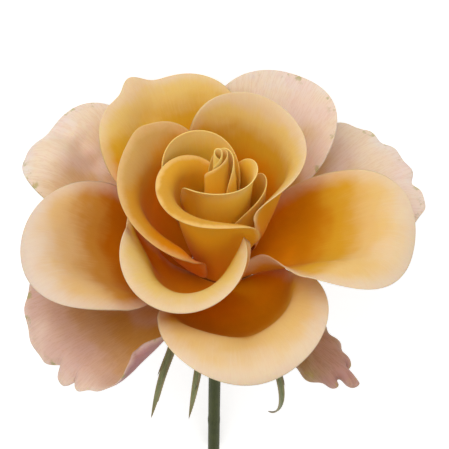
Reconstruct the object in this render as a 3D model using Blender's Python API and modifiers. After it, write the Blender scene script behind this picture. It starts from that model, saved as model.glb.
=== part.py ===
"""Cut garden rose, an open double bloom on a short stem, lying on a table.

Every petal and every sepal is one named sheet.  They all come from one surface
formula (see petal_surface): a flat outline is bent lengthwise, rolled crosswise
round the bloom axis, and its margin is turned outwards.  Hip and stem grew as
one piece and are one solid.

Bloom frame: millimetres, the bloom axis is +z, the top of the hip is near z = 0,
azimuth 90 (+y) is the underside once the flower lies down.  At the end
everything is laid on its back petals and stem end and written in metres, +Z up.
"""
import math

import bpy
import numpy as np

MM = 0.001
DEG = math.pi / 180.0

# ---- driving constants -----------------------------------------------------
PETAL_THICK = 0.50            # mm, sheet thickness of a petal
SEPAL_THICK = 0.60            # mm
STEM_LENGTH = 104.0           # mm, hip top to the cut end
STEM_RADIUS = 1.9             # mm
STEM_BEND = -1.4              # mm, how far the stem wanders sideways
LIE_PITCH = 20.2              # degrees, bloom axis above the table
LIE_ROLL = -5.1               # degrees, sideways levelling about the long axis

# Receptacle and hip: (height along the axis, radius) in mm, top to bottom.
HIP_PROFILE = [(3.7, 0.5), (3.5, 1.6), (3.1, 3.1), (2.6, 4.4), (1.9, 5.4),
               (1.3, 6.1), (0.5, 6.7), (-0.6, 7.2), (-2.0, 7.5), (-4.2, 7.3),
               (-6.6, 6.6), (-9.0, 5.3), (-12.0, 3.7), (-15.0, 2.6), (-19.0, 2.05)]

# Shared habit of the sheets; each entry of PETALS and SEPALS overrides it.
HABIT = dict(
    widest=0.62,      # share of the length at which the sheet is widest
    claw=0.20,        # width of the foot as a share of the full width
    foot=1.25,        # how late the foot widens
    square=2.2,       # corner fullness of the upper outline, 2 is an ellipse
    yaw=0.0,          # degrees, whole cross-section turned: one edge in, one out
    skew=0.0,         # share by which one edge curls tighter than the other
    sway=0.0,         # sideways drift of the tip as a share of the length
    slant=0.0,        # one edge longer than the other
    drift=(0.0, 0.0), # mm, tip carried sideways off the bloom axis
    roll=(0, 0, 0),   # degrees the margin turns out: clockwise edge, tip, other edge
    strip=(10, 10, 10),  # mm, width of the margin that turns, at the same three places
    crest=1.4,        # how late in the strip the turn comes, below 1 is a crisp fold
    nicks=(),         # (direction, depth, spread): notches (-) and points (+)
    cells=(12, 12),   # across, along
)

# around: azimuth in degrees; length and width in mm; lean: degrees from the
# bloom axis, foot to tip; cup: degrees turned from midline to edge, foot to tip;
# seat: radius and height of the foot in mm.  Listed from the heart outwards.
PETALS = {
    "petal_heart": dict(around=100, length=48.5, width=10.5, lean=(0, 0, -2, -8), cup=(180, 240, 300),
                        seat=(1.6, 4.0), widest=.5, square=2, skew=.3, drift=(.2, 0), cells=(20, 8)),
    "petal_heart_wrap": dict(around=285, length=43, width=22, lean=(6, 10, -10, -8), cup=(130, 165, 200),
                             seat=(3.3, 3.5), widest=.6, slant=.7, drift=(0, 0), cells=(14, 8)),
    "petal_inner_right": dict(around=24, length=43, width=18, lean=(6, 8, -8, -2), cup=(100, 92, 88),
                              seat=(4.4, 3.3), widest=.6, yaw=1, drift=(-.6, 0), cells=(10, 8)),
    "petal_inner_front": dict(around=312, length=43, width=37, lean=(8, 21, -12, 14), cup=(140, 140, 120),
                              seat=(5.1, 2.8), widest=.6, claw=.24, yaw=-6, skew=-.12, slant=-.04,
                              roll=(110, 20, 20), strip=(5, 5, 5), nicks=((150, .1, 16),),
                              cells=(14, 12)),
    "petal_ring_back": dict(around=112, length=42, width=36.5, lean=(18, 24, -6, 2), cup=(150, 104, 90),
                            seat=(6.7, 2.0), yaw=-8, drift=(-2, 0)),
    "petal_ring_front": dict(around=219.5, length=43.4, width=47.5, lean=(8, 30, -10, 16),
                             cup=(160, 124, 114), seat=(6.9, .9), widest=.6, claw=.42, foot=1, yaw=-10,
                             skew=-.15, slant=.15, roll=(10, 100, 80), strip=(6, 8, 7), cells=(14, 12)),
    "petal_wall_right": dict(around=348, length=38, width=24, lean=(24, 22, -4, 4), cup=(104, 84, 70),
                             seat=(6.7, 1.7), widest=.6, claw=.36, foot=.9, yaw=-6, slant=.1,
                             cells=(10, 10)),
    "petal_heart_left": dict(around=178, length=42, width=50, lean=(46, 30, 2, 22), cup=(124, 88, 92),
                             seat=(7.0, 1.0), claw=.2, yaw=-2, slant=-.3, roll=(30, 60, 100),
                             strip=(10, 9, 5), crest=.9, nicks=((118, .05, 8),)),
    "petal_sweep_right": dict(around=38, length=45.5, width=56, lean=(28, 42, 6, 22), cup=(120, 104, 118),
                              seat=(7.3, .8), widest=.7, square=2.6, yaw=-7.5, skew=-.04, slant=.22,
                              roll=(90, 40, 40), strip=(9, 10, 10), crest=1.0),
    "petal_front_cup": dict(around=249.5, length=44.5, width=56, lean=(53, 80, 0, 20),
                            cup=(110, 110, 158), seat=(7.8, 0), claw=.18, square=2.6, yaw=-2, skew=.05,
                            slant=0, roll=(80, 85, 85), strip=(15, 11, 11), crest=.7,
                            nicks=((150, -.12, 20),)),
    "petal_back_left": dict(around=118, length=50, width=47, lean=(50, 54, 30, 56), cup=(110, 64, 50),
                            seat=(7.6, -.1), square=2.4, yaw=4, roll=(50, 30, 90),
                            nicks=((82, .16, 11),)),
    "petal_left_bowl": dict(around=203.5, length=56.5, width=47, lean=(69, 66, 46, 58), cup=(78, 68, 60),
                            seat=(7.7, -1.1), claw=.3, foot=.8, yaw=-4, sway=-.03, roll=(60, 70, 90),
                            strip=(12, 12, 12)),
    "petal_right_bowl": dict(around=344.2, length=57.5, width=47.5, lean=(42, 78, 50, 72),
                             cup=(112, 85, 70), seat=(7.9, -.6), claw=.3, foot=.8, yaw=-1, skew=-.2,
                             roll=(100, 60, 30), strip=(12, 12, 12), crest=.8),
    "petal_front_low": dict(around=285, length=49, width=50, lean=(91, 97, -8, 10), cup=(62, 88, 70),
                            seat=(7.8, -1.6), claw=.36, foot=.55, square=2.5, yaw=0, skew=.08, sway=-.02,
                            roll=(70, 118, 60), strip=(6, 18.5, 6), crest=.65),
    "petal_back_right": dict(around=63, length=54, width=42, lean=(62, 62, 44, 58), cup=(105, 50, 40),
                             seat=(7.8, -1.0), yaw=-10, roll=(30, 20, 30), cells=(10, 10)),
    "petal_guard_left": dict(around=148, length=61, width=38, lean=(67, 70, 56, 64), cup=(90, 50, 30),
                             seat=(7.9, -1.9), square=2.6, roll=(30, 90, 60), strip=(14, 14, 14),
                             nicks=((58, -.05, 8),), cells=(10, 12)),
    "petal_guard_right": dict(around=29, length=57.5, width=50, lean=(66, 88, 76, 80), cup=(90, 30, 10),
                              seat=(7.9, -1.9), roll=(30, 30, 30), cells=(10, 10)),
    "petal_guard_low_left": dict(around=214, length=52, width=47, lean=(84, 100, 90, 88),
                                 cup=(90, 30, 10), seat=(7.9, -2.4), roll=(30, 60, -70),
                                 nicks=((70, -.16, 8), (46, .08, 8), (100, -.12, 7), (20, .06, 10)),
                                 cells=(14, 12)),
    "petal_guard_low_right": dict(around=313, length=49, width=16, lean=(84, 110, 100, 88),
                                  cup=(50, 30, 10), seat=(7.9, -3.0), claw=.4, roll=(40, 50, 80),
                                  strip=(5, 7, 5),
                                  nicks=((70, -.22, 10), (105, -.16, 9), (30, -.12, 12), (50, .1, 6)),
                                  cells=(8, 10)),
}

SEPAL = dict(width=5, cup=(60, 60, 50), seat=(7.7, -4.2), widest=.25, claw=.5, square=1.25, foot=1,
             cells=(6, 12))
SEPALS = {
    "sepal_front_left": dict(SEPAL, around=241, length=45, lean=(95, 135, 140, 150)),
    "sepal_front": dict(SEPAL, around=261, length=40, lean=(110, 150, 135, 150), sway=-.05),
    "sepal_front_right": dict(SEPAL, around=298, length=42, lean=(95, 140, 140, 170), sway=-.04),
    "sepal_back_right": dict(SEPAL, around=50, length=36, lean=(115, 165, 160, 150)),
    "sepal_back_left": dict(SEPAL, around=140, length=38, lean=(115, 160, 165, 150)),
}

PETAL_COLOURS = {"yellow": (.83, .50, .17), "pink": (.80, .60, .50)}
GREEN = (.13, .17, .05)


# ---- the surface formula ---------------------------------------------------
def blend(values, t):
    """Bezier curve through the control values, t from 0 (foot) to 1 (tip)."""
    n = len(values) - 1
    t = np.clip(t, 0.0, 1.15)
    return sum(v * math.comb(n, i) * t ** i * (1 - t) ** (n - i) for i, v in enumerate(values))


def mean_along(f, steps=12):
    """Mean of f(k) for k between 0 and 1, by the midpoint rule."""
    return sum(f((i + .5) / steps) for i in range(steps)) / steps


def petal_surface(a, b, around, length, width, lean, cup, seat, widest, claw, foot, square,
                  yaw, skew, sway, slant, drift, roll, strip, crest, nicks):
    """Points (mm) of one sheet for grid coordinates a (across) and b (along), both -1..1.

    1. Outline: below b = 0 the half width grows from the claw like a sine; above it
       the square grid is carried onto a disc whose rim is a rounded square.
    2. Spine: a curve in the plane of the azimuth whose slope is the lean.
    3. Cross-section: a circular arc turning by the cup angle, rotated by the yaw.
    4. Margin: the outer strip bends outwards by the roll angle, along its own
       direction on the sheet.
    """
    half, low = width / 2, b < 0
    y_wide = widest * length
    t = np.clip(1 + b, 0, 1)
    swell = np.sin(t * math.pi / 2)
    w_low = half * (claw + (1 - claw) * swell ** foot)
    slope = half * (1 - claw) * foot * np.clip(swell, 1e-6, 1) ** (foot - 1) * np.cos(t * math.pi / 2) \
        * (math.pi / 2) / y_wide
    up = np.clip(b, 0, 1)
    dx, dy = a * np.sqrt(1 - up ** 2 / 2), up * np.sqrt(1 - a ** 2 / 2)
    rad, ang = np.hypot(dx, dy), np.arctan2(dy, dx)
    rim = (np.abs(np.cos(ang)) ** square + np.abs(np.sin(ang)) ** square) ** (-1 / square)
    for where, depth, spread in nicks:
        rim = rim * (1 + depth * np.exp(-((ang / DEG - where) / spread) ** 2) * np.clip(rad, 0, 1) ** 2)
    x = np.where(low, a * w_low, half * dx * rim)
    y = np.where(low, y_wide * t, y_wide + (length - y_wide) * dy * rim)
    # direction towards the nearest margin, and the distance to it
    gx = np.where(low, np.sign(a) / w_low, dx / half / np.maximum(rad, 1e-6))
    gy = np.where(low, -np.abs(a) * slope / w_low, dy / (length - y_wide) / np.maximum(rad, 1e-6))
    g = np.hypot(gx, gy) + 1e-9
    mx, my = gx / g, gy / g
    inside = (1 - np.where(low, np.abs(a), rad)) / g
    y = y + slant * x * np.clip(y / length, 0, 1) ** 2

    s = np.linspace(0, 1.2 * length, 400)
    psi = blend(lean, s / length) * DEG
    step = s[1]
    run = np.concatenate([[0], np.cumsum((np.sin(psi[1:]) + np.sin(psi[:-1])) / 2 * step)]) + seat[0]
    rise = np.concatenate([[0], np.cumsum((np.cos(psi[1:]) + np.cos(psi[:-1])) / 2 * step)]) + seat[1]
    tau, ps = y / length, np.interp(y, s, psi)
    full, u = blend(cup, tau) * DEG, x / half
    turn = lambda k: full * (k * u + skew * (k * u) ** 2)
    across, inward = mean_along(lambda k: np.cos(turn(k))) * x, mean_along(lambda k: np.sin(turn(k))) * x

    zero, one = 0 * x, np.ones_like(x)
    nin = np.stack([-np.cos(ps), zero, np.sin(ps)], -1)
    rising = np.stack([np.sin(ps), zero, np.cos(ps)], -1)
    side = np.stack([zero, one, zero], -1)
    cy, sy = math.cos(yaw * DEG), math.sin(yaw * DEG)
    tan2, nin2 = side * cy + nin * sy, nin * cy - side * sy
    p = np.stack([np.interp(y, s, run), sway * length * tau ** 2, np.interp(y, s, rise)], -1)
    p = p + across[..., None] * tan2 + inward[..., None] * nin2
    ct, st = np.cos(turn(1.0))[..., None], np.sin(turn(1.0))[..., None]
    along_sheet, normal_in = ct * tan2 + st * nin2, ct * nin2 - st * tan2

    fade = np.clip((tau - .25) / .35, 0, 1)
    fade = fade * fade * (3 - 2 * fade)
    tip = np.clip(my, 0, 1) ** 2
    at_rim = lambda v: v[1] * tip + (1 - tip) * np.where(mx > 0, v[2], v[0])
    amount, band = at_rim(roll) * fade * DEG, at_rim(strip)
    q = np.clip(band - inside, 0, band)
    bend = lambda k: amount * (k * q / band) ** crest
    outward = mx[..., None] * along_sheet + my[..., None] * rising
    p = p + (mean_along(lambda k: np.cos(bend(k))) * q - q)[..., None] * outward \
          - (mean_along(lambda k: np.sin(bend(k))) * q)[..., None] * normal_in

    ca, sa = math.cos(around * DEG), math.sin(around * DEG)
    carry = np.clip(tau, 0, 1) ** 1.2
    return np.stack([p[..., 0] * ca - p[..., 1] * sa + drift[0] * carry,
                     p[..., 0] * sa + p[..., 1] * ca + drift[1] * carry, p[..., 2]], -1)


# ---- Blender side ----------------------------------------------------------
def material(name, colour, rough):
    """Plain Principled material."""
    m = bpy.data.materials.new(name)
    m.use_nodes = True
    node = m.node_tree.nodes["Principled BSDF"]
    node.inputs["Base Color"].default_value = (*colour, 1)
    node.inputs["Roughness"].default_value = rough
    return m


def read_points(mesh):
    """Vertex positions of a mesh as an array."""
    flat = np.empty(len(mesh.vertices) * 3)
    mesh.vertices.foreach_get("co", flat)
    return flat.reshape(-1, 3)


def sheet(name, spec, thick, mat, home):
    """One petal or sepal: a grid primitive moved onto its surface, then thickened."""
    spec = {**HABIT, **spec}
    nx, ny = spec.pop("cells")
    bpy.ops.mesh.primitive_grid_add(x_subdivisions=nx, y_subdivisions=ny, size=2)
    ob = bpy.context.active_object
    ob.name = ob.data.name = name
    flat = read_points(ob.data)
    moved = petal_surface(flat[:, 0], flat[:, 1], **spec) * MM
    ob.data.vertices.foreach_set("co", moved.ravel())
    ob.data.materials.append(mat)
    solid = ob.modifiers.new("thickness", "SOLIDIFY")
    solid.thickness, solid.offset, solid.use_rim = thick * MM, 0, True
    for c in list(ob.users_collection):
        c.objects.unlink(ob)
    home.objects.link(ob)
    return ob


def stem_and_hip(name, mat, home):
    """Hip and stem in one round solid: a bevelled curve with a radius at each point."""
    curve = bpy.data.curves.new(name, "CURVE")
    curve.dimensions, curve.bevel_depth, curve.bevel_resolution = "3D", MM, 6
    curve.use_fill_caps = True
    lowest = HIP_PROFILE[-1][0]
    heights = list(HIP_PROFILE) + [(lowest + (-STEM_LENGTH - lowest) * k / 6, STEM_RADIUS)
                                   for k in range(1, 7)]
    line = curve.splines.new("POLY")
    line.points.add(len(heights) - 1)
    for point, (z, r) in zip(line.points, heights):
        t = min(max((-z - 10) / (STEM_LENGTH - 10), 0), 1)
        point.co, point.radius = (STEM_BEND * t ** .7 * MM, 0, z * MM, 1), r
    made = bpy.data.objects.new(name + "_curve", curve)
    bpy.context.scene.collection.objects.link(made)
    bpy.context.view_layer.update()
    mesh = bpy.data.meshes.new_from_object(made.evaluated_get(bpy.context.evaluated_depsgraph_get()))
    bpy.data.objects.remove(made)
    mesh.name = name
    mesh.materials.clear()
    mesh.materials.append(mat)
    ob = bpy.data.objects.new(name, mesh)
    home.objects.link(ob)
    return ob


def main():
    for ob in list(bpy.data.objects):
        bpy.data.objects.remove(ob)
    home = bpy.data.collections.new("garden_rose")
    bpy.context.scene.collection.children.link(home)
    made = []
    for name, spec in PETALS.items():
        pink = "guard" in name or "back_right" in name
        mat = material("mat_" + name, PETAL_COLOURS["pink" if pink else "yellow"], .55)
        made.append(sheet(name, spec, PETAL_THICK, mat, home))
    for name, spec in SEPALS.items():
        made.append(sheet(name, spec, SEPAL_THICK, material("mat_" + name, GREEN, .6), home))
    made.append(stem_and_hip("stem_and_hip", material("mat_stem_and_hip", GREEN, .5), home))

    # lay the flower down: pitched onto its back petals and stem end, levelled, then
    # moved so that its lowest point is at z = 0 and it is centred in x and y
    pose = bpy.data.objects.new("lying_pose", None)
    home.objects.link(pose)
    pose.rotation_euler = ((LIE_PITCH - 90) * DEG, LIE_ROLL * DEG, 0)
    for ob in made:
        ob.parent = pose
    bpy.context.view_layer.update()
    graph = bpy.context.evaluated_depsgraph_get()
    turn = np.array(pose.matrix_world.to_3x3())
    reach = np.concatenate([read_points(ob.evaluated_get(graph).data) for ob in made]) @ turn.T
    lo, hi = reach.min(0), reach.max(0)
    pose.location = (-(lo[0] + hi[0]) / 2, -(lo[1] + hi[1]) / 2, -lo[2])


main()
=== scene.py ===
"""Cut garden rose, open and double, lying on a pale table: the finished look."""

import math
from types import SimpleNamespace

import bpy
import numpy as np
from mathutils import Matrix, Vector


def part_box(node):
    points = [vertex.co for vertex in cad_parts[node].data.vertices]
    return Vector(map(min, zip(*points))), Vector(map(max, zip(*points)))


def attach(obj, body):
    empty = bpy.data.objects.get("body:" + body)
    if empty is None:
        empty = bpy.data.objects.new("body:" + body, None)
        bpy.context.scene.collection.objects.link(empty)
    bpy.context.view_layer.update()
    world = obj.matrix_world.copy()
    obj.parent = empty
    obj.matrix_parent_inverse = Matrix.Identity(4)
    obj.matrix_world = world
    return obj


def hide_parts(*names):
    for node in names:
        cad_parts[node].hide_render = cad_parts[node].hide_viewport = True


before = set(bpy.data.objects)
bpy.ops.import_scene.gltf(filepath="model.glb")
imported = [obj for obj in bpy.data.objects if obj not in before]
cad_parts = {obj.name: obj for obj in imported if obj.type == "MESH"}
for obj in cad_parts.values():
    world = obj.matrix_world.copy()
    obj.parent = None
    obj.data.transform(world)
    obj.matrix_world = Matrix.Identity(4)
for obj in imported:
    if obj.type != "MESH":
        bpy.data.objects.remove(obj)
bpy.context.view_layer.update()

# ============================================================================
# Stem and hip.  One green growth: a smooth round stem that swells into the urn
# of the hip and closes over it as the dome that carries the petals.  It is cut
# square at the lower end, where the paler pith shows.
# ============================================================================
MM, DEG = 0.001, math.pi / 180
STEM_LENGTH, STEM_RADIUS = 104.0, 1.9      # mm, the length from the hip's top
STEM_BEND = -1.4                           # mm, how far the stem wanders sideways
STEM_SIDES, STEM_RINGS = 48, 240
STEM_KNOTS = (-40, -60, -80, -95)          # mm, heights between the hip and the cut
DOME_TOP = 3.74                            # mm
LEAF_SCARS = (-47, -86)                    # mm, heights of two old leaf scars
HIP_PROFILE = [(3.7, 0.5), (3.5, 1.6), (3.1, 3.1), (2.6, 4.4), (1.9, 5.4), (1.3, 6.1), (0.5, 6.7),
               (-0.6, 7.2), (-2.0, 7.5), (-4.2, 7.3), (-6.6, 6.6), (-9.0, 5.3), (-12.0, 3.7),
               (-15.0, 2.6), (-19.0, 2.05), (-26.0, 1.9)]   # mm, height and radius

# Bloom frame (millimetres, +z along the bloom's axis) to the lying pose: pitched on
# to its back about x, then levelled about y.
LIE_PITCH, LIE_ROLL = 20.2 * DEG, -5.1 * DEG
POSE = np.array([[math.cos(LIE_ROLL), 0, math.sin(LIE_ROLL)], [0, 1, 0],
                 [-math.sin(LIE_ROLL), 0, math.cos(LIE_ROLL)]]) @ \
    np.array([[1, 0, 0], [0, math.sin(LIE_PITCH), math.cos(LIE_PITCH)],
              [0, -math.cos(LIE_PITCH), math.sin(LIE_PITCH)]])


def curve_through(knots, count):
    """Smooth curve through the knots: each span is the cubic whose end slopes are half
    the chord between its neighbouring knots.  Returns count points."""
    k = np.asarray(knots, float)
    k = np.vstack([2 * k[0] - k[1], k, 2 * k[-1] - k[-2]])
    s = np.linspace(0, len(k) - 3 - 1e-9, count)
    i, t = s.astype(int), (s % 1)[:, None]
    p0, p1, p2, p3 = k[i], k[i + 1], k[i + 2], k[i + 3]
    return p1 + .5 * t * (p2 - p0 + t * (2 * p0 - 5 * p1 + 4 * p2 - p3
                                         + t * (3 * (p1 - p2) + p3 - p0)))


def stem_surface(turn, down):
    """Rings round the axis.  The radius follows the hip's profile and then the stem; five
    shallow ribs run down the hip, and the stem swells a little at two old leaf scars.
    The axis wanders sideways with the power 0.7 of the way down."""
    z, r = down[..., 0], down[..., 1]
    on_hip = np.exp(-((z + 4) / 5) ** 2)
    r = r * (1 + .018 * on_hip * np.cos(5 * turn + 1) + .006 * np.sin(3 * turn + z / 9))
    for scar in LEAF_SCARS:
        side = 1 + .6 * np.cos(turn - scar)
        r = r + .13 * side * np.exp(-((z - scar) / 1.6) ** 2) * (r > 1)
    t = np.clip((-z - 10) / (STEM_LENGTH - 10), 0, 1)
    return np.stack([STEM_BEND * t ** .7 + r * np.cos(turn), r * np.sin(turn), z], -1)


def grid_faces(rows, columns, wrap=False):
    """Quads of a grid of points numbered row by row, as one array."""
    i, j = np.meshgrid(np.arange(rows - 1), np.arange(columns if wrap else columns - 1), indexing="ij")
    k = (j + 1) % columns
    return np.stack([i * columns + j, i * columns + k, (i + 1) * columns + k, (i + 1) * columns + j],
                    -1).reshape(-1, 4)


def add_piece(name, points, faces, values, finish, flat=None):
    """Mesh in the lying pose from points in millimetres.  faces lists arrays of corners, one
    array for each number of corners; values holds one number per point for each named
    attribute; flat holds each point's place on the unrolled sheet, as UV."""
    mesh = bpy.data.meshes.new(name)
    mesh.vertices.add(len(points))
    mesh.vertices.foreach_set("co", (points @ POSE.T * MM + SEAT).ravel())
    corners = np.concatenate([f.ravel() for f in faces])
    sides = np.concatenate([np.full(len(f), f.shape[1]) for f in faces])
    mesh.loops.add(len(corners))
    mesh.loops.foreach_set("vertex_index", corners)
    mesh.polygons.add(len(sides))
    mesh.polygons.foreach_set("loop_start", np.cumsum(sides) - sides)
    mesh.polygons.foreach_set("use_smooth", np.ones(len(sides), bool))
    mesh.update(calc_edges=True)
    for key, value in values.items():
        mesh.attributes.new(key, "FLOAT", "POINT").data.foreach_set("value", value.astype(np.float32))
    if flat is not None:
        mesh.uv_layers.new(name="Sheet").data.foreach_set("uv", flat[corners].ravel())
    mesh.materials.append(finish)
    piece = bpy.data.objects.new(name, mesh)
    bpy.context.scene.collection.objects.link(piece)
    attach(piece, "root")
    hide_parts(name)


def tint(colour):
    """A colour written as six hexadecimal digits, as scene-linear red, green, blue, alpha."""
    c = np.array([int(colour[i:i + 2], 16) for i in (0, 2, 4)]) / 255
    return (*np.where(c < .04045, c / 12.92, ((c + .055) / 1.055) ** 2.4), 1.0)


class Nodes:
    """A node tree, built up call by call.  An input is either another node's output,
    which is linked, or a plain value."""

    def __init__(self, tree):
        self.tree = tree

    def node(self, kind, inputs=(), **settings):
        """A shader node with its settings and inputs."""
        made = self.tree.nodes.new("ShaderNode" + kind)
        for key, value in settings.items():
            setattr(made, key, value)
        for socket, value in dict(inputs).items():
            self.feed(value, made.inputs[socket])
        return made

    def feed(self, value, socket):
        """Link an output to the socket, or store a plain value in it."""
        if isinstance(value, bpy.types.NodeSocket):
            self.tree.links.new(value, socket)
        else:
            socket.default_value = value

    def value(self, name):
        """A named number stored on the mesh."""
        return self.node("Attribute", attribute_name=name).outputs["Fac"]

    def place(self):
        """Object coordinates, in metres."""
        return self.node("TexCoord").outputs["Object"]

    def maths(self, operation, a, b=0.0):
        """One operation on two numbers."""
        return self.node("Math", {0: a, 1: b}, operation=operation).outputs[0]

    def total(self, *terms):
        """Sum of values, each times its share."""
        parts = [self.maths("MULTIPLY", value, share) for value, share in terms]
        whole = parts[0]
        for part in parts[1:]:
            whole = self.maths("ADD", whole, part)
        return whole

    def swing(self, value, by):
        """How far a noise swings from its middle, times by."""
        return self.maths("MULTIPLY", self.maths("SUBTRACT", value, .5), by)

    def noise(self, vector, scale, detail=2.0, roughness=.5, distortion=0.0):
        """Cloudy noise from 0 to 1, with scale patches to the unit."""
        return self.node("TexNoise", {"Vector": vector, "Scale": scale, "Detail": detail,
                                      "Roughness": roughness, "Distortion": distortion}).outputs["Fac"]

    def between(self, value, low, high, out_low=0.0, out_high=1.0):
        """The value's way from low to high, smoothed, as a number from out_low to out_high."""
        return self.node("MapRange", {"Value": value, "From Min": low, "From Max": high, "To Min": out_low,
                                      "To Max": out_high}, interpolation_type="SMOOTHSTEP").outputs[0]

    def ramp(self, value, stops):
        """Colour that eases from stop to stop; each stop is a place and a colour."""
        made = self.node("ValToRGB", {"Fac": value})
        band = made.color_ramp
        band.interpolation = "EASE"
        while len(band.elements) < len(stops):
            band.elements.new(.5)
        for element, (place, colour) in zip(band.elements, stops):
            element.position, element.color = place, tint(colour)
        return made.outputs["Color"]

    def mix(self, share, a, b, blend="MIX"):
        """Colour a covered with colour b by its share."""
        made = self.node("Mix", data_type="RGBA", blend_type=blend, clamp_factor=True)
        self.feed(share, made.inputs[0])
        for socket, colour in ((made.inputs[6], a), (made.inputs[7], b)):
            self.feed(tint(colour) if isinstance(colour, str) else colour, socket)
        return made.outputs[2]


class Finish(Nodes):
    """A material round one Principled shader; given thin and glow, it is plant tissue:
    light that enters the sheet glows through it."""

    def __init__(self, name, roughness, specular, sheen=0, sheen_roughness=.5, thin=0, glow=(0, 0, 0)):
        self.material = bpy.data.materials.new(name)
        self.material.use_nodes = True
        super().__init__(self.material.node_tree)
        self.skin = self.tree.nodes["Principled BSDF"].inputs
        for socket, value in (("Roughness", roughness), ("Specular IOR Level", specular),
                              ("Sheen Weight", sheen), ("Sheen Roughness", sheen_roughness),
                              ("Subsurface Weight", thin), ("Subsurface Radius", glow),
                              ("Subsurface Scale", 1.0 * MM)):
            self.skin[socket].default_value = value

    def finish(self, colour, relief, depth, roughness=None):
        """Join colour, relief of a depth in mm and, where it varies, roughness to the shader."""
        self.feed(colour, self.skin["Base Color"])
        if roughness is not None:
            self.feed(roughness, self.skin["Roughness"])
        made = self.node("Bump", {"Height": relief, "Distance": depth * MM, "Strength": 1.0})
        self.feed(made.outputs["Normal"], self.skin["Normal"])
        return self.material


def stem_finish():
    """Olive green with fine streaks along the stem, greyer on the hip, painted orange shade
    on the dome where the petals sit; the cut end goes from pale pith to green bark."""
    f = Finish("stem_skin", .5, .2, thin=.1, glow=(.5, .8, .2))
    down, turn = f.value("down"), f.value("turn")
    along = f.node("CombineXYZ", {"X": f.maths("COSINE", turn), "Y": f.maths("SINE", turn),
                                  "Z": f.maths("MULTIPLY", down, .06)}).outputs[0]
    streaks = f.noise(along, 9, 3, .6)
    blotches = f.noise(f.place(), 140, 3, .55)
    pores = f.noise(f.place(), 2600)
    colour = f.ramp(f.total((streaks, .6), (blotches, .4)),
                    [(.3, "363E12"), (.5, "454C1C"), (.72, "5A6128")])
    hip = f.between(down, 16, 4)
    colour = f.mix(f.maths("MULTIPLY", hip, .75), colour, "70783F")
    # Painted shade: deep amber on the dome under the petals' feet, standing for the orange shade seen
    # between them.
    colour = f.mix(f.between(down, 4.5, 1.0), colour, "B4690F")
    pith = f.ramp(f.maths("ADD", f.value("reach"), f.maths("MULTIPLY", blotches, .15)),
                  [(.35, "D9D7AE"), (.75, "A8B277"), (.95, "5F6A38")])
    colour = f.mix(f.value("cut"), colour, pith)
    return f.finish(colour, f.total((streaks, .7), (pores, .3)), .09)


# The profile from the top of the dome to the cut, whose rim is slightly rounded.
stem_knots = HIP_PROFILE + [(z, STEM_RADIUS) for z in (*STEM_KNOTS, -STEM_LENGTH + .12)]
profile = np.vstack([[(DOME_TOP, 0.0)], curve_through(stem_knots, STEM_RINGS),
                     [(-STEM_LENGTH + .03, STEM_RADIUS - .05), (-STEM_LENGTH, STEM_RADIUS - .2),
                      (-STEM_LENGTH + .02, STEM_RADIUS * .5), (-STEM_LENGTH + .02, 0.0)]])
step = np.arange(STEM_SIDES)
turn, ring = np.meshgrid(step * 2 * math.pi / STEM_SIDES, np.arange(len(profile)))
rings = stem_surface(turn, profile[ring])
inner_rings = len(profile) - 2
points = np.vstack([rings[1:-1].reshape(-1, 3), rings[0, :1], rings[-1, :1]])
top_pole, end_pole = inner_rings * STEM_SIDES, inner_rings * STEM_SIDES + 1
last = (inner_rings - 1) * STEM_SIDES
following = (step + 1) % STEM_SIDES
caps = np.vstack([np.stack([np.full(STEM_SIDES, top_pole), step, following], -1),
                  np.stack([np.full(STEM_SIDES, end_pole), last + following, last + step], -1)])

# Where the hip's top stands in the row frame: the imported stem's box against this one's.
low, high = (np.array(corner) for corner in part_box("stem_and_hip"))
own = points @ POSE.T * MM
SEAT = (low + high) / 2 - (own.min(0) + own.max(0)) / 2


def per_point(ring_values, top, bottom):
    """One number per point of the stem from one number per ring and the two poles' own."""
    return np.append(np.repeat(ring_values, STEM_SIDES), [top, bottom])


add_piece("stem_and_hip", points, [grid_faces(inner_rings, STEM_SIDES, wrap=True)[:, ::-1], caps],
          dict(down=per_point(-profile[1:-1, 0], -3.7, STEM_LENGTH),
               cut=per_point(np.arange(inner_rings) >= inner_rings - 2, 0, 1),
               reach=per_point(profile[1:-1, 1] / STEM_RADIUS, 0, 0),
               turn=np.append(turn[1:-1].ravel(), [0, 0])),
          stem_finish())

# ============================================================================
# Sepals.  Five narrow leaves that wrapped the bud and now hang back along the
# stem.  Each is a thin folded blade with a few side teeth, downy and pale on its
# inner face and along the margin, olive green outside.
# ============================================================================
SEPAL_THICK = .5           # mm
HABIT = dict(
    widest=.62,            # share of the length at which the sheet is widest
    claw=.20,              # width of the foot as a share of the full width
    foot=1.25,             # how late the foot widens
    square=2.2,            # corner fullness of the upper outline, 2 is an ellipse
    yaw=0.0,               # degrees, whole cross-section turned: one edge in, one out
    skew=0.0,              # share by which one edge curls tighter than the other
    sway=0.0,              # sideways drift of the tip as a share of the length
    slant=0.0,             # one edge longer than the other
    drift=(0.0, 0.0),      # mm, tip carried sideways off the bloom axis
    roll=(0, 0, 0),        # degrees the margin turns out: clockwise edge, tip, other edge
    strip=(10, 10, 10),    # mm, width of the margin that turns, at the same three places
    crest=1.4,             # how late in the strip the turn comes, below 1 is a crisp fold
    nicks=(),              # (direction, depth, spread): notches (-) and points (+)
    frill=(0, 0, 0),       # waves round the margin: mm, waves to a turn, start in degrees
    swell=0.0,             # mm, soft hollows and swellings over the blade
    dent=())               # (x, y, depth, spread): local pushes in mm, + is outwards


def blend(values, t):
    """Bezier curve through the control values, t from 0 at the foot to 1 at the tip."""
    n = len(values) - 1
    t = np.clip(t, 0.0, 1.15)
    return sum(v * math.comb(n, i) * t ** i * (1 - t) ** (n - i) for i, v in enumerate(values))


def mean_along(f, steps=12):
    """Mean of f(k) for k between 0 and 1, by the midpoint rule."""
    return sum(f((i + .5) / steps) for i in range(steps)) / steps


def smooth(t):
    """0 below 0, 1 above 1, and a smooth step between."""
    t = np.clip(t, 0, 1)
    return t * t * (3 - 2 * t)


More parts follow.
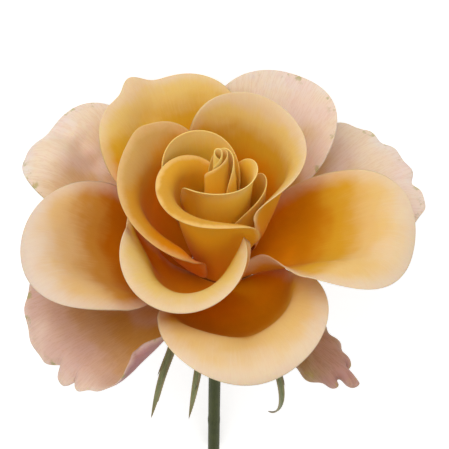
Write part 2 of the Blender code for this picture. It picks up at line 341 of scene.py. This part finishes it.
def flat_outline(a, b, leaf):
    """The grid a, b (both from -1 to 1) laid on the flat sheet: places x, y in mm, the
    share of the length up the sheet, the distance inside the margin, the direction
    (mx, my) towards the margin, and the angle round the outline.
    Below b = 0 the half width grows from the claw like a sine; above it the square grid
    is carried onto a disc whose rim is a rounded square with nicks."""
    half, low = leaf.width / 2, b < 0
    y_wide = leaf.widest * leaf.length
    t = np.clip(1 + b, 0, 1)
    grown = np.sin(t * math.pi / 2)
    w_low = half * (leaf.claw + (1 - leaf.claw) * grown ** leaf.foot)
    slope = half * (1 - leaf.claw) * leaf.foot * np.clip(grown, 1e-6, 1) ** (leaf.foot - 1) \
        * np.cos(t * math.pi / 2) * (math.pi / 2) / y_wide
    up = np.clip(b, 0, 1)
    dx, dy = a * np.sqrt(1 - up ** 2 / 2), up * np.sqrt(1 - a ** 2 / 2)
    rad, ang = np.hypot(dx, dy), np.arctan2(dy, dx)
    rim = (np.abs(np.cos(ang)) ** leaf.square + np.abs(np.sin(ang)) ** leaf.square) ** (-1 / leaf.square)
    for where, depth, spread in leaf.nicks:
        rim = rim * (1 + depth * np.exp(-((ang / DEG - where) / spread) ** 2) * np.clip(rad, 0, 1) ** 2)
    x = np.where(low, a * w_low, half * dx * rim)
    y = np.where(low, y_wide * t, y_wide + (leaf.length - y_wide) * dy * rim)
    rho = np.where(low, np.abs(a), rad)
    gx = np.where(low, np.sign(a) / w_low, dx / half / np.maximum(rad, 1e-6))
    gy = np.where(low, -np.abs(a) * slope / w_low, dy / (leaf.length - y_wide) / np.maximum(rad, 1e-6))
    g = np.hypot(gx, gy) + 1e-9
    y = y + leaf.slant * x * np.clip(y / leaf.length, 0, 1) ** 2
    angle = np.where(low, np.where(a >= 0, (t - 1) * math.pi / 2, math.pi + (1 - t) * math.pi / 2), ang)
    return SimpleNamespace(x=x, y=y, up=y / leaf.length, inside=(1 - rho) / g,
                           mx=gx / g, my=gy / g, angle=angle)


def cupped(flat, leaf):
    """The flat sheet bent lengthwise and across, and its three directions at each point:
    across the sheet, up along it and square to it, inwards.
    Spine: a curve in the plane of the azimuth whose slope is the lean.
    Cross-section: a circular arc that turns by the cup angle, rotated by the yaw."""
    s = np.linspace(0, 1.2 * leaf.length, 400)
    psi = blend(leaf.lean, s / leaf.length) * DEG
    run, rise = (np.concatenate([[0], np.cumsum((f(psi[1:]) + f(psi[:-1])) / 2 * s[1])]) + start
                 for f, start in zip((np.sin, np.cos), leaf.seat))
    ps = np.interp(flat.y, s, psi)
    full, u = blend(leaf.cup, flat.up) * DEG, flat.x / (leaf.width / 2)

    def bow(k):
        return full * (k * u + leaf.skew * (k * u) ** 2)

    zero, one = 0 * flat.x, np.ones_like(flat.x)
    side = np.stack([zero, one, zero], -1)
    inner = np.stack([-np.cos(ps), zero, np.sin(ps)], -1)
    rising = np.stack([np.sin(ps), zero, np.cos(ps)], -1)
    cy, sy = math.cos(leaf.yaw * DEG), math.sin(leaf.yaw * DEG)
    side, inner = side * cy + inner * sy, inner * cy - side * sy
    across = mean_along(lambda k: np.cos(bow(k))) * flat.x
    inward = mean_along(lambda k: np.sin(bow(k))) * flat.x
    p = np.stack([np.interp(flat.y, s, run), leaf.sway * leaf.length * flat.up ** 2,
                  np.interp(flat.y, s, rise)], -1)
    p = p + across[..., None] * side + inward[..., None] * inner
    ct, st = np.cos(bow(1.0))[..., None], np.sin(bow(1.0))[..., None]
    return p, ct * side + st * inner, rising, ct * inner - st * side


def rolled(p, directions, flat, leaf):
    """The outer strip of the sheet bent outwards by the roll angle, later and later
    towards the margin as the crest says."""
    along_sheet, rising, inward = directions
    tip = np.clip(flat.my, 0, 1) ** 2

    def at_rim(v):
        return v[1] * tip + (1 - tip) * np.where(flat.mx > 0, v[2], v[0])

    amount = at_rim(leaf.roll) * smooth((flat.up - .25) / .35) * DEG
    band = at_rim(leaf.strip)
    q = np.clip(band - flat.inside, 0, band)

    def bend(k):
        return amount * (k * q / band) ** leaf.crest

    outward = flat.mx[..., None] * along_sheet + flat.my[..., None] * rising
    return p + (mean_along(lambda k: np.cos(bend(k))) * q - q)[..., None] * outward \
        - (mean_along(lambda k: np.sin(bend(k))) * q)[..., None] * inward


def waved(p, flat, leaf):
    """The sheet moved along its normal: the frill dies away from the margin, the swell is
    a sum of slow sines that starts above the foot, and each dent is a round bell."""
    x, y, seed = flat.x, flat.y, leaf.around * .37
    height, count, start = leaf.frill
    wave = height * np.exp(-flat.inside / 3.5) * np.sin(count * flat.angle + start * DEG)
    wave = wave + leaf.swell * (np.sin(x / 6.1 + seed) * np.sin(y / 7.3 + 2 * seed) * .6
                                + np.sin((x + .7 * y) / 3.9 + 3 * seed) * .22
                                + np.sin((.8 * x - y) / 4.7 + 5 * seed) * .22)
    wave = wave * smooth((flat.up - .2) / .4)
    for dent_x, dent_y, depth, spread in leaf.dent:
        wave = wave + depth * np.exp(-((x - dent_x) ** 2 + (y - dent_y) ** 2) / spread ** 2)
    return p + wave[..., None] * sheet_normals(p)


def placed(p, flat, leaf):
    """The sheet turned to its azimuth round the bloom's axis, its tip carried sideways."""
    ca, sa = math.cos(leaf.around * DEG), math.sin(leaf.around * DEG)
    carry = np.clip(flat.up, 0, 1) ** 1.2
    return np.stack([p[..., 0] * ca - p[..., 1] * sa + leaf.drift[0] * carry,
                     p[..., 0] * sa + p[..., 1] * ca + leaf.drift[1] * carry, p[..., 2]], -1)


def sheet_normals(p):
    """Unit normals of a grid of points, towards the outer side: each is the sum of the
    crossed diagonals of the cells round it."""
    n = np.cross(p[1:, 1:] - p[:-1, :-1], p[1:, :-1] - p[:-1, 1:])
    total = np.zeros_like(p)
    for rows in (slice(1, None), slice(None, -1)):
        for columns in (slice(1, None), slice(None, -1)):
            total[rows, columns] += n
    return total / (np.linalg.norm(total, axis=-1, keepdims=True) + 1e-12)


def add_sheet(name, spec, thick, finish, columns=64, low_rows=36, top_rows=40):
    """One petal or sepal as a closed skin: the sheet's points moved half the thickness
    to each side, less and less towards the margin, where both skins share one line.
    The grid is closer set towards both edges and the tip."""
    leaf = SimpleNamespace(**{**HABIT, **spec})
    s = np.linspace(-1, 1, columns + 1)
    t = np.linspace(0, 1, top_rows + 1)
    a, b = np.meshgrid(s + .28 * np.sin(math.pi * s) / math.pi,
                       np.concatenate([np.linspace(-1, 0, low_rows + 1)[:-1], 1 - (1 - t) ** 1.25]))
    flat = flat_outline(a, b, leaf)
    p, *directions = cupped(flat, leaf)
    p = placed(waved(rolled(p, directions, flat, leaf), flat, leaf), flat, leaf)

    rounding = np.sqrt(1 - (1 - np.clip(flat.inside / (1.2 * thick), 0, 1)) ** 2)
    lift = sheet_normals(p) * (thick / 2 * rounding)[..., None]
    core = np.zeros(a.shape, bool)
    core[1:-1, 1:-1] = True
    inner_index = np.arange(a.size).reshape(a.shape)
    inner_index[core] = a.size + np.arange(core.sum())
    cells = grid_faces(*a.shape)

    def both(v):
        return np.concatenate([v.ravel(), v[core]])

    reverse = np.concatenate([np.where(core, 1.0, .5).ravel(), np.zeros(core.sum())])
    add_piece(name, np.vstack([(p + lift).reshape(-1, 3), (p - lift)[core]]),
              [cells, inner_index.ravel()[cells][:, ::-1]],
              dict(along=both(flat.y / leaf.length), margin=both(flat.inside), reverse=reverse),
              finish, np.stack([both(flat.x) / 100 + .5, both(flat.y) / 100], -1))


def sepal_finish():
    """Olive outside and grey-green inside with fibres along the blade, a pale downy
    margin and a dry brown tip."""
    f = Finish("sepal_skin", .6, .3, sheen=.35, sheen_roughness=.4, thin=.15, glow=(.5, .8, .2))
    sheet = f.node("TexCoord").outputs["UV"]
    fibres = f.noise(f.node("Mapping", {"Vector": sheet, "Scale": (420, 30, 1)}).outputs[0], 1, 3, .6)
    mottle = f.noise(f.place(), 420, 3, .6)
    outside = f.ramp(f.total((fibres, .5), (mottle, .5)), [(.3, "424A22"), (.5, "5C6238"), (.7, "7C7B4B")])
    inside = f.ramp(fibres, [(.3, "7F8A5C"), (.7, "A3A67C")])
    colour = f.mix(f.value("reverse"), inside, outside)
    colour = f.mix(f.between(f.value("margin"), .7, .05), colour, "A59A70")
    colour = f.mix(f.between(f.value("along"), .82, 1.0, 0, .6), colour, "8A6A45")
    return f.finish(colour, f.total((fibres, .7), (mottle, .3)), .12)


SEPAL = dict(width=5, cup=(60, 60, 50), seat=(7.7, -4.2), widest=.25, claw=.5, square=1.25, foot=1,
             swell=.15)
SEPALS = {
    "sepal_front_left": dict(around=240, length=43.5, width=4.6, lean=(95, 133, 142, 152),
                             cup=(90, 110, 120), sway=.01,
                             nicks=((30, .35, 3), (148, .3, 3), (60, .12, 4))),
    "sepal_front": dict(around=259.5, length=40, width=4.2, lean=(110, 150, 135, 150),
                        cup=(90, 110, 120), sway=-.05, nicks=((24, .9, 3),)),
    "sepal_front_right": dict(around=304, length=54, width=4.0, lean=(95, 130, 146, 232),
                              cup=(90, 120, 130), sway=-.03, nicks=((30, .25, 2),)),
    "sepal_back_right": dict(around=50, length=36, lean=(115, 165, 160, 150), nicks=((150, .3, 2),)),
    "sepal_back_left": dict(around=140, length=38, lean=(115, 160, 165, 150), nicks=((30, .35, 2),)),
}
sepal_skin = sepal_finish()
for name, spec in SEPALS.items():
    add_sheet(name, {**SEPAL, **spec}, SEPAL_THICK, sepal_skin,
              columns=28, low_rows=20, top_rows=72)

# ============================================================================
# Guard petals.  The five outermost petals, the oldest ones: large thin sheets that
# lie back under the bloom, cream with a pink blush, greenish and a little torn at
# the margin.
# ============================================================================
PETAL_THICK = .34                                         # mm
BLUSH, CLOUDS, MOTTLE, FLECKS, PORES = 62, 110, 210, 300, 3200   # patches to the metre


def petal_finish(name, tones, edge, outside, edge_width=4.0, edge_share=.8, outside_share=.5, blush=None,
                 vein=.5, fleck=None, velvet=.08, gloss=.2):
    """Skin of a petal: colours from foot to tip, a paler margin, the outer face's own
    tint, veins that fan out from the foot, soft mottling and a velvet of fine pores."""
    f = Finish(name, .58, gloss, sheen=velvet, sheen_roughness=.45, thin=.35, glow=(.9, .55, .2))
    sheet = f.node("SeparateXYZ", {"Vector": f.node("TexCoord").outputs["UV"]})
    x, y = f.maths("SUBTRACT", sheet.outputs[0], .5), f.maths("ADD", sheet.outputs[1], .16)
    fan = f.maths("ARCTAN2", x, y)
    far = f.maths("POWER", f.maths("ADD", f.maths("MULTIPLY", x, x), f.maths("MULTIPLY", y, y)), .5)
    clouds = f.noise(f.place(), CLOUDS)
    ray = f.node("CombineXYZ", {"X": f.maths("MULTIPLY", fan, 26), "Y": f.maths("MULTIPLY", far, 3.2),
                                "Z": f.maths("MULTIPLY", clouds, .35)}).outputs[0]
    veins = f.noise(ray, 3.4, 4, .62, .25)
    lines = f.between(f.maths("ABSOLUTE", f.maths("SUBTRACT", veins, .5)), .055, 0)
    mottle = f.noise(f.place(), MOTTLE, 3, .55)
    pores = f.noise(f.place(), PORES)

    along = f.maths("ADD", f.value("along"), f.swing(clouds, .22))
    along = f.maths("ADD", along, f.swing(veins, .06))
    colour = f.ramp(along, tones)
    outer_face = f.between(f.value("reverse"), .45, .55)
    colour = f.mix(f.maths("MULTIPLY", outer_face, outside_share), colour, outside)
    if blush:
        colour = f.mix(f.between(f.noise(f.place(), BLUSH), .42, .66, 0, .75), colour, blush)
    margin = f.maths("ADD", f.value("margin"), f.swing(mottle, 3.0))
    colour = f.mix(f.between(margin, edge_width, .2, 0, edge_share), colour, edge)
    colour = f.mix(f.maths("MULTIPLY", lines, .16 * vein), colour, tones[0][1], "MULTIPLY")
    if fleck:
        spots = f.maths("MULTIPLY", f.between(f.noise(f.place(), FLECKS, 3, .6), .56, .66),
                        f.between(f.value("margin"), 3.0, .4))
        colour = f.mix(f.maths("MULTIPLY", spots, .7), colour, fleck)
    relief = f.total((veins, .55 * vein), (pores, .10), (mottle, .5))
    return f.finish(colour, relief, .22, f.between(mottle, .3, .7, .52, .64))


blush_skin = petal_finish(
    "guard_petal_skin", ((.3, "D89428"), (.5, "D9AC64"), (.7, "DDBE94"), (.86, "EBD5BC"), (.97, "EBDCD0")),
    edge="E8D9CB", edge_width=3, edge_share=.4, outside="D8B5AE", outside_share=.65, blush="EAD0C6",
    vein=.9, fleck="A9A25A")
low_skin = petal_finish(
    "low_guard_petal_skin",
    ((.3, "C68A22"), (.5, "C28E40"), (.62, "C89C6A"), (.75, "D3AE94"), (.95, "E6CDBC")),
    edge="E6D0C0", edge_width=2.5, edge_share=.5, outside="B78A93", outside_share=.85, blush="D2AEA0",
    vein=1.0, fleck="9C9B55")
faded_skin = petal_finish(
    "faded_guard_petal_skin", ((.3, "B89E48"), (.5, "BE9C68"), (.75, "C29C88"), (.95, "BE9088")),
    edge="CDB49C", edge_width=2.5, edge_share=.4, outside="B88C90", outside_share=.8, blush="A8944A",
    vein=1.6, fleck="B7A850")
GUARDS = {
    "petal_back_right": dict(around=63, length=54, width=41.5, lean=(64, 62, 44, 58), cup=(105, 50, 40),
                             seat=(7.9, -1.25), yaw=-2, roll=(30, 20, 30), swell=.25),
    "petal_guard_left": dict(around=147, length=59.5, width=38, lean=(67, 70, 56, 64), cup=(90, 50, 30),
                             seat=(7.9, -1.9), square=2.6, roll=(30, 90, 60), strip=(14, 14, 14),
                             nicks=((58, -.05, 8),), swell=.3,
                             dent=((8, 49, -4, 7.5), (-3, 53, 2, 3.6), (-3.5, 46, 2.4, 3.6),
                                   (-2.5, 39, 2, 3.6))),
    "petal_guard_right": dict(around=29, length=57.5, width=50, lean=(69, 86, 76, 80), cup=(90, 30, 10),
                              seat=(7.9, -2.2), roll=(30, 30, 30), frill=(.35, 17, 20), swell=.45,
                              nicks=((66, -.04, 6), (110, -.07, 6), (132, .05, 8))),
    "petal_guard_low_left": dict(around=214, length=52, width=54, lean=(84, 100, 90, 88), cup=(80, 30, 10),
                                 seat=(7.9, -2.7), foot=1.15, roll=(30, 60, -140), frill=(.4, 15, 60),
                                 swell=.5,
                                 nicks=((85, -.22, 5), (64, -.2, 4), (50, -.1, 8), (16, .08, 12))),
    "petal_guard_low_right": dict(around=317, length=46, width=19, lean=(84, 110, 100, 88),
                                  cup=(50, 30, 10), seat=(7.9, -3.0), claw=.4, roll=(95, 70, 120),
                                  strip=(6, 8, 6), frill=(1.0, 11, 0), swell=1.0,
                                  nicks=((64, -.2, 12), (108, -.14, 13), (30, -.12, 12), (86, .1, 8))),
}
GUARD_SKINS = {"petal_guard_low_left": low_skin, "petal_guard_low_right": faded_skin}
for name, spec in GUARDS.items():
    add_sheet(name, spec, PETAL_THICK, GUARD_SKINS.get(name, blush_skin))

# ============================================================================
# Bowl and cup petals.  The open petals of the bloom: broad, deeply cupped, golden
# towards the foot, with painted shade in the hollow just above it, and cream-peach along
# a margin that rolls outwards.
# ============================================================================
DEEP = dict(velvet=.04, gloss=.06, vein=.3)   # the golden petals hardly gloss
OPEN_SWELL, CUP_SWELL = .22, .12              # mm
# Painted shade: the darker stop at .40 stands for the shade of the hollow round the heart.
bowl_skin = petal_finish(
    "bowl_petal_skin", ((.12, "EC9602"), (.40, "CC8200"), (.57, "D8A428"), (.75, "E6C07A"), (.96, "E9CFAC")),
    edge="E8D2BC", edge_width=5, edge_share=.55, outside="D89820", outside_share=.35, **DEEP)
# Painted shade: a darker copy of the bowl skin for the left bowl, partly its own deeper gold and partly the
# shade of its hollow by the heart.
shaded_left_skin = petal_finish(
    "left_bowl_petal_shaded_skin",
    ((.12, "DC7E00"), (.43, "BA6A02"), (.58, "C68B33"), (.75, "DBB479"), (.96, "DEC9B3")),
    edge="DECBBB", edge_width=5, edge_share=.55, outside="D89820", outside_share=.35, **DEEP)
cup_skin = petal_finish(
    "cup_petal_skin", ((.2, "E89402"), (.5, "DF9002"), (.7, "D7A82A"), (.86, "E2C070"), (.98, "E0C294")),
    edge="E8CFAE", edge_width=3.5, edge_share=.5, outside="EBA322", outside_share=.4, **DEEP)
sheath_skin = petal_finish(
    "sheath_petal_skin", ((.2, "F6A006"), (.5, "F09404"), (.7, "D88A06"), (.82, "D0962C"), (.97, "CCA45E")),
    edge="E8C48E", edge_width=2.5, edge_share=.5, outside="EBA012", outside_share=.4, **DEEP)
BOWLS = {
    "petal_left_bowl": dict(around=198, length=56.5, width=46.5, lean=(65, 67, 46, 58), cup=(60, 86, 56),
                            seat=(7.7, -.75), widest=.56, claw=.26, foot=.8, square=2.1, yaw=-6, skew=.1,
                            slant=.12, roll=(60, 70, 90), strip=(12, 12, 12), swell=OPEN_SWELL),
    "petal_right_bowl": dict(around=346.5, length=56.5, width=46, lean=(42, 78, 50, 72), cup=(88, 106, 66),
                             seat=(7.9, -.6), claw=.29, foot=.55, yaw=-3, skew=-.36, roll=(118, 60, 30),
                             strip=(12, 12, 12), crest=.8, swell=OPEN_SWELL),
    "petal_front_low": dict(around=284.5, length=51, width=52, lean=(91, 97, -8, 10), cup=(68, 88, 70),
                            seat=(7.8, -1.6), widest=.54, claw=.5, foot=.54, square=2.5, skew=.26,
                            sway=-.02, roll=(70, 118, 60), strip=(6, 18.5, 6), crest=.65,
                            swell=OPEN_SWELL),
    "petal_back_left": dict(around=118, length=50, width=47, lean=(50, 54, 30, 56), cup=(110, 64, 50),
                            seat=(7.6, -.1), square=2.4, yaw=4, roll=(50, 30, 90), swell=CUP_SWELL,
                            nicks=((84, .2, 9),), dent=((4, 40, 1.5, 5), (-9, 43, -1.2, 6))),
    "petal_front_cup": dict(around=247.5, length=44.5, width=54, lean=(53, 80, 0, 20), cup=(110, 110, 158),
                            seat=(7.8, 0), claw=.18, square=2.6, yaw=-2, skew=.1, roll=(80, 85, 72),
                            strip=(15, 11, 8), crest=.7, swell=CUP_SWELL, nicks=((150, -.12, 20),)),
    "petal_sweep_right": dict(around=38, length=45.5, width=56, lean=(28, 42, 6, 22), cup=(120, 104, 118),
                              seat=(7.3, .8), widest=.7, square=2.6, yaw=-7.5, skew=-.04, slant=.22,
                              roll=(90, 40, 40), strip=(9, 10, 10), crest=1.0, swell=CUP_SWELL,
                              nicks=((48, -.07, 20),)),
    "petal_heart_left": dict(around=177.5, length=41.6, width=48.5, lean=(46, 30, 2, 22),
                             cup=(124, 88, 92), seat=(7.0, 1.0), claw=.46, foot=.5, yaw=-2, skew=-.1,
                             slant=-.36, roll=(30, 60, 100), strip=(10, 9, 5), crest=.9, swell=CUP_SWELL,
                             nicks=((118, .05, 8),)),
}
BOWL_SKINS = {"petal_left_bowl": shaded_left_skin, "petal_right_bowl": bowl_skin, "petal_front_low": bowl_skin,
              "petal_heart_left": sheath_skin}
for name, spec in BOWLS.items():
    add_sheet(name, spec, PETAL_THICK, BOWL_SKINS.get(name, cup_skin))

# ============================================================================
# Heart.  The unopened middle: ring petals that stand round a bud, the bud's own
# wraps, and a tight scroll in the centre, all deep gold with a thin pale rim, with
# painted shade on the front ring petal and the bud's wrap.
# ============================================================================
RIM = dict(edge_width=1.6, edge_share=.6, outside_share=.3, **DEEP)
heart_skin = petal_finish(
    "heart_petal_skin", ((.2, "FCB810"), (.6, "FCC826"), (.8, "FCD04C"), (.97, "F8D684")),
    edge="F4D080", outside="FCBE24", **RIM)
# Painted shade: darker and browner towards the tip than the heart's gold, for the shade on the bud's front
# under its rolled rim; partly the bud's own deeper gold.
ring_skin = petal_finish(
    "ring_petal_skin", ((.2, "FCB010"), (.6, "FCB81E"), (.8, "E6AC34"), (.97, "D09A38")),
    edge="F6D08A", outside="FCB81E", **RIM)
HEART = {
    "petal_wall_right": dict(around=348, length=35.5, width=24, lean=(24, 22, -4, 4), cup=(104, 84, 70),
                             seat=(6.7, 1.7), widest=.6, claw=.36, foot=.9, yaw=-6, slant=.1),
    "petal_ring_front": dict(around=219.5, length=43, width=47.5, lean=(8, 30, -10, 16),
                             cup=(160, 124, 114), seat=(6.9, .9), widest=.6, claw=.42, foot=1, yaw=-10,
                             skew=-.15, slant=.15, roll=(10, 100, 75), strip=(6, 8, 7)),
    "petal_ring_back": dict(around=112, length=42, width=36.5, lean=(18, 24, -6, 2), cup=(150, 104, 90),
                            seat=(6.7, 2.0), yaw=-8, drift=(-2, 0)),
    "petal_inner_front": dict(around=312, length=41.5, width=37, lean=(8, 21, -12, 14),
                              cup=(140, 140, 120), seat=(5.1, 2.8), widest=.6, claw=.24, yaw=-6, skew=-.12,
                              slant=-.04, roll=(150, 20, 20), strip=(6, 5, 5), nicks=((150, .04, 16),)),
    "petal_inner_right": dict(around=24, length=43, width=18, lean=(6, 8, -8, -2), cup=(100, 92, 88),
                              seat=(4.4, 3.3), widest=.6, yaw=1, drift=(-.6, 0)),
    "petal_heart_wrap": dict(around=285, length=43, width=22, lean=(6, 10, -10, -8), cup=(130, 165, 200),
                             seat=(3.3, 3.5), widest=.6, slant=.7),
    "petal_heart": dict(around=100, length=47.2, width=15, lean=(0, 0, -2, -8), cup=(240, 300, 420),
                        seat=(1.6, 4.0), widest=.5, square=2, skew=.2, drift=(.2, 0)),
}
for name, spec in HEART.items():
    add_sheet(name, spec, PETAL_THICK,
              ring_skin if name in ("petal_ring_front", "petal_heart_wrap") else heart_skin,
              columns=96 if name in ("petal_heart", "petal_heart_wrap") else 72)

# ============================================================================
# Setting.  A plain pale table top, a bright even sky of soft light and one broad
# soft lamp that the open face looks up at; the camera looks down into the bloom.
# ============================================================================
VIEW_LIFT = 52 * DEG                # above the plane of the open petals
VIEW_DISTANCE = 600.0               # mm
VIEW_AIM = (2.19, 10.35)            # mm right of and above the hip's top, as seen
LENS, FILM = 165.0, 36.0            # mm
CLIP_NEAR, CLIP_FAR = .01, 20       # m
FLOOR_SIZE, FLOOR_DROP = 6, .0002   # m, the drop keeps floor and petal margins apart
FLOOR_GLOW = .5                     # where it is seen directly
SKY_STRENGTH = .61
LAMP_TOWARDS = (-.2, -.3, 1.0)      # in the bloom frame, seen from the bloom
LAMP_AIM = (0, 0, 25.0)             # mm, a point in the heart
LAMP_DISTANCE, LAMP_SIZE, LAMP_POWER = .9, .6, 3.9   # m, m, W


def seen_directly(nodes):
    """1 for what the camera sees straight, mirrored or through something, 0 for light."""
    path = nodes.node("LightPath").outputs
    mirrored = nodes.maths("MAXIMUM", path["Is Camera Ray"], path["Is Glossy Ray"])
    return nodes.maths("MAXIMUM", mirrored, path["Is Transmission Ray"])


right = np.array([1.0, 0, 0])
upward = np.array([0, math.sin(VIEW_LIFT), math.cos(VIEW_LIFT)])
back = np.array([0, -math.cos(VIEW_LIFT), math.sin(VIEW_LIFT)])
eye = VIEW_AIM[0] * right + VIEW_AIM[1] * upward + VIEW_DISTANCE * back
camera = bpy.data.objects.new("camera", bpy.data.cameras.new("camera"))
camera.data.lens, camera.data.sensor_width = LENS, FILM
camera.data.clip_start, camera.data.clip_end = CLIP_NEAR, CLIP_FAR
pose = np.eye(4)
pose[:3, :3] = POSE @ np.stack([right, upward, back], -1)
pose[:3, 3] = POSE @ eye * MM + SEAT
camera.matrix_world = Matrix(pose)
bpy.context.scene.collection.objects.link(camera)
bpy.context.scene.camera = camera
bpy.context.scene.view_settings.view_transform = "Standard"

bpy.ops.mesh.primitive_plane_add(size=FLOOR_SIZE, location=(0, 0, -FLOOR_DROP))
floor = bpy.context.active_object
floor.name = "table_top"
paper = Finish("pale_table_top", .9, .1)
paper.skin["Base Color"].default_value = (.93, .93, .93, 1)
paper.skin["Emission Color"].default_value = (1, 1, 1, 1)
paper.feed(paper.maths("MULTIPLY", seen_directly(paper), FLOOR_GLOW), paper.skin["Emission Strength"])
floor.data.materials.append(paper.material)

world = bpy.data.worlds.new("soft_sky")
bpy.context.scene.world = world
world.use_nodes = True
sky = Nodes(world.node_tree)
light = sky.tree.nodes["Background"]
light.inputs["Color"].default_value = (1, .99, .975, 1)
light.inputs["Strength"].default_value = SKY_STRENGTH
pale = sky.node("Background", {"Strength": 1.0})
chosen = sky.node("MixShader", {0: seen_directly(sky), 1: light.outputs[0], 2: pale.outputs[0]})
sky.feed(chosen.outputs[0], sky.tree.nodes["World Output"].inputs["Surface"])

lamp = bpy.data.objects.new("key", bpy.data.lights.new("key", "AREA"))
lamp.data.shape, lamp.data.size, lamp.data.energy = "SQUARE", LAMP_SIZE, LAMP_POWER
lamp.data.color = (1, .985, .96)
direction = POSE @ (np.array(LAMP_TOWARDS) / np.linalg.norm(LAMP_TOWARDS))
lamp.rotation_euler = Vector(direction).to_track_quat("Z", "Y").to_euler()
lamp.location = SEAT + POSE @ np.array(LAMP_AIM) * MM + direction * LAMP_DISTANCE
bpy.context.scene.collection.objects.link(lamp)
